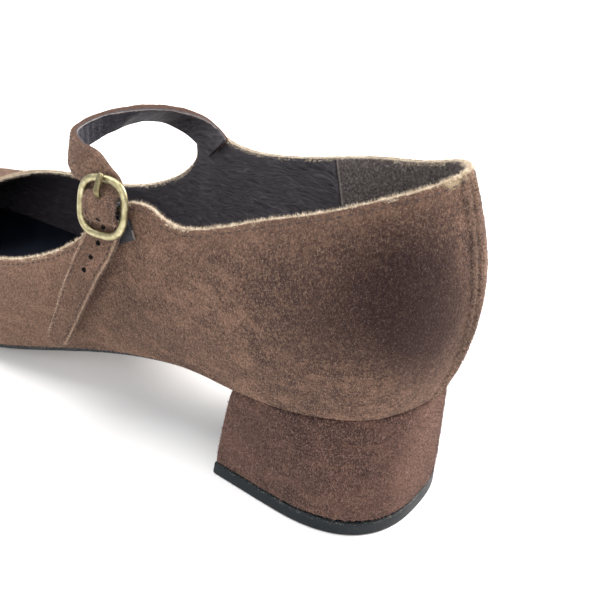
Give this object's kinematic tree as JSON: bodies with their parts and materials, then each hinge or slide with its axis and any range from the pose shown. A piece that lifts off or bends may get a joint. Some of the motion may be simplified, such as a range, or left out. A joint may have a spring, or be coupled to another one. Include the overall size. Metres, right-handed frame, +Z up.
{
  "type": "mary jane shoe",
  "caption": "Left suede strap shoe with a low block heel, hollow upper open at collar and throat, buckled instep strap with a loose tail, thin sole",
  "frame": {"origin": "middle of the shoe's outline, on the floor it stands on", "axes": "+X from heel to toe, +Y to the outer side of the foot, +Z up"},
  "size_m": [0.2574, 0.0828, 0.0982],
  "materials": {
    "suede": "brown suede with a raised nap",
    "heel_suede": "suede cover over the heel, slightly redder and darker",
    "sole": "matte blue-black, lightly scuffed",
    "lining": "dark grey-brown smooth lining leather",
    "brass": "antique brass, satin",
    "pin_brass": "darker antique brass"
  },
  "bodies": {
    "root": {"upper": "suede", "outsole": "sole", "insole": "lining", "heel_block": "heel_suede", "top_lift": "sole", "strap": "suede", "buckle_frame": "brass", "buckle_pin": "pin_brass", "chape": "lining"}
  },
  "joints": []
}
